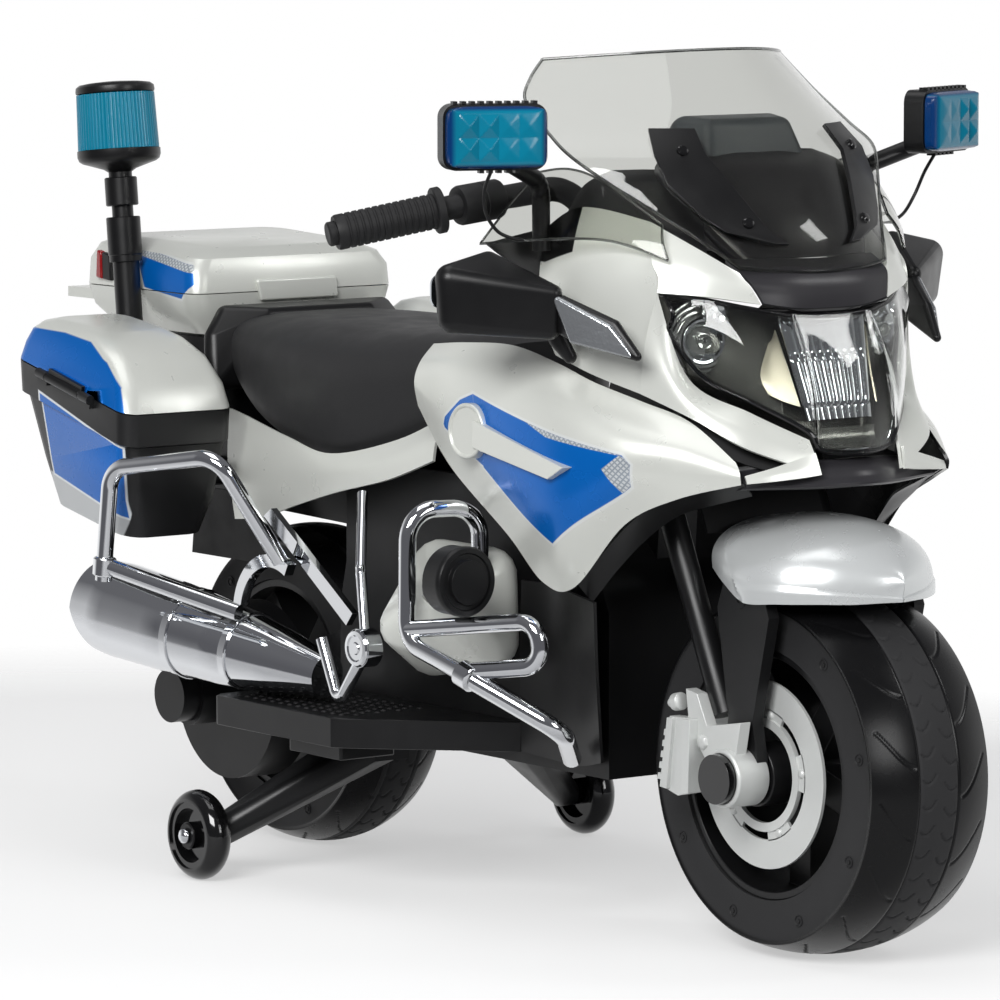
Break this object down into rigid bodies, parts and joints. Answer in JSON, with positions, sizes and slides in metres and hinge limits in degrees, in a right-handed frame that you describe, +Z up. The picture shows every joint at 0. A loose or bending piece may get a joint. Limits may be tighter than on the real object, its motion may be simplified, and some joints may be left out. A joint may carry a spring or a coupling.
{
  "type": "ride-on patrol motorcycle",
  "caption": "Child's battery-electric ride-on patrol motorcycle with stabiliser wheels, steering fork, screen, opening panniers and top case, chrome guards and an extending beacon mast.",
  "frame": {"origin": "on the floor, in the middle of the overall length and width", "axes": "+X forward, +Y to the rider's left, +Z up"},
  "size_m": [1.26, 0.645, 0.797],
  "materials": {
    "black_plastic": "satin black moulded plastic",
    "silver_plastic": "silver painted moulded plastic",
    "chrome_plastic": "bright plated plastic",
    "clear_plastic": "clear moulded plastic",
    "teal_lens": "translucent blue-green plastic",
    "dark_reflector": "dark smoked plastic",
    "lamp_reflector": "bright lamp bowls",
    "mirror_film": "mirror film on plastic",
    "tyre_plastic": "hard black tyre moulding",
    "seat_plastic": "grained black moulding",
    "red_lens": "red translucent plastic",
    "red_button": "red plastic",
    "steel": "plain steel",
    "battery_case": "black battery case",
    "gear_plastic": "natural acetal",
    "brass": "machined brass"
  },
  "bodies": {
    "chassis": {"main_frame": "black_plastic", "belly_fairing": "black_plastic", "side_fairing_right": "silver_plastic", "side_fairing_left": "silver_plastic", "upper_fairings": "silver_plastic", "nose_panel": "black_plastic", "headlight_housing": "dark_reflector", "headlight_lamps": "lamp_reflector", "headlight_lens": "clear_plastic", "beak": "black_plastic", "windscreen": "clear_plastic", "screen_brackets": "black_plastic", "wing_deflectors": "clear_plastic", "instrument_cowl": "black_plastic", "mirror_housings": "black_plastic", "mirror_glasses": "mirror_film", "signal_lenses": "clear_plastic", "pod_housings": "black_plastic", "pod_lenses": "teal_lens", "pod_wires": "black_plastic", "seat": "seat_plastic", "tail_shell": "black_plastic", "side_panels": "silver_plastic", "front_crash_bars": "chrome_plastic", "rear_guard_bars": "chrome_plastic", "cylinder_covers": "silver_plastic", "siren_drums": "black_plastic", "footboards": "black_plastic", "silencer": "chrome_plastic", "footrest_trim": "chrome_plastic", "pannier_boxes": "black_plastic", "top_case_base": "silver_plastic", "mast_base": "black_plastic", "battery": "battery_case", "drive_motor": "steel", "gear_case": "black_plastic", "rear_axle": "steel", "stabiliser_brackets": "black_plastic"},
    "steering": {"fork": "black_plastic", "handlebar": "black_plastic", "front_mudguard": "silver_plastic", "brake_calipers": "silver_plastic", "front_axle": "steel"},
    "front_wheel": {"front_rim": "black_plastic", "brake_discs": "silver_plastic", "front_tyre": "tyre_plastic"},
    "throttle": {"throttle_grip": "black_plastic"},
    "button": {"start_button": "red_button"},
    "rear_wheel": {"rear_rim": "black_plastic", "rear_tyre": "tyre_plastic"},
    "idler": {"idler_gear": "gear_plastic"},
    "pinion": {"motor_pinion": "brass"},
    "right_stabiliser": {"stabiliser_wheel_right": "tyre_plastic"},
    "left_stabiliser": {"stabiliser_wheel_left": "tyre_plastic"},
    "right_lid": {"pannier_lid_right": "silver_plastic"},
    "left_lid": {"pannier_lid_left": "silver_plastic"},
    "case_lid": {"top_case_lid": "silver_plastic", "tail_light": "red_lens"},
    "beacon": {"mast_tube": "black_plastic", "beacon_lens": "teal_lens"}
  },
  "joints": [
    {"name": "steer", "type": "hinge", "parent": "chassis", "child": "steering", "pos_m": [0.435, 0, 0.165], "axis": [-0.4226, 0, 0.9063], "range_deg": [-15, 15]},
    {"name": "front_wheel_spin", "type": "hinge", "parent": "steering", "child": "front_wheel", "pos_m": [0.465, 0, 0.165], "axis": [0, 1, 0], "continuous": true},
    {"name": "throttle_twist", "type": "hinge", "parent": "steering", "child": "throttle", "pos_m": [0.203, -0.206, 0.658], "axis": [-0.3657, -0.9101, -0.195], "range_deg": [0, 30], "stiffness_Nm_per_rad": 0.6},
    {"name": "start_press", "type": "slide", "parent": "steering", "child": "button", "axis": [1, 0, 0], "range_m": [0, 0.0025], "stiffness_N_per_m": 600},
    {"name": "rear_wheel_spin", "type": "hinge", "parent": "chassis", "child": "rear_wheel", "pos_m": [-0.311, 0, 0.157], "axis": [0, 1, 0], "continuous": true},
    {"name": "idler_spin", "type": "hinge", "parent": "chassis", "child": "idler", "pos_m": [-0.27918, -0.0846, 0.18882], "axis": [0, 1, 0], "continuous": true},
    {"name": "pinion_spin", "type": "hinge", "parent": "chassis", "child": "pinion", "pos_m": [-0.25702, -0.0846, 0.19273], "axis": [0, 1, 0], "continuous": true},
    {"name": "right_stabiliser_spin", "type": "hinge", "parent": "chassis", "child": "right_stabiliser", "pos_m": [-0.182, -0.229, 0.043], "axis": [0, 1, 0], "continuous": true},
    {"name": "left_stabiliser_spin", "type": "hinge", "parent": "chassis", "child": "left_stabiliser", "pos_m": [-0.182, 0.229, 0.043], "axis": [0, 1, 0], "continuous": true},
    {"name": "right_lid_hinge", "type": "hinge", "parent": "chassis", "child": "right_lid", "pos_m": [-0.3285, -0.2833, 0.4625], "axis": [0.9755, 0, -0.2201], "range_deg": [0, 85]},
    {"name": "left_lid_hinge", "type": "hinge", "parent": "chassis", "child": "left_lid", "pos_m": [-0.3285, 0.2833, 0.4625], "axis": [-0.9755, 0, 0.2201], "range_deg": [0, 85]},
    {"name": "case_lid_hinge", "type": "hinge", "parent": "chassis", "child": "case_lid", "pos_m": [-0.448, 0.1263, 0.5415], "axis": [-1, 0, 0], "range_deg": [0, 80]},
    {"name": "mast_slide", "type": "slide", "parent": "chassis", "child": "beacon", "axis": [-0.1058, 0, 0.9944], "range_m": [0, 0.06]}
  ],
  "couplings": [
    {"joint": "idler_spin", "follows": "rear_wheel_spin", "ratio": -2},
    {"joint": "pinion_spin", "follows": "rear_wheel_spin", "ratio": 4}
  ]
}
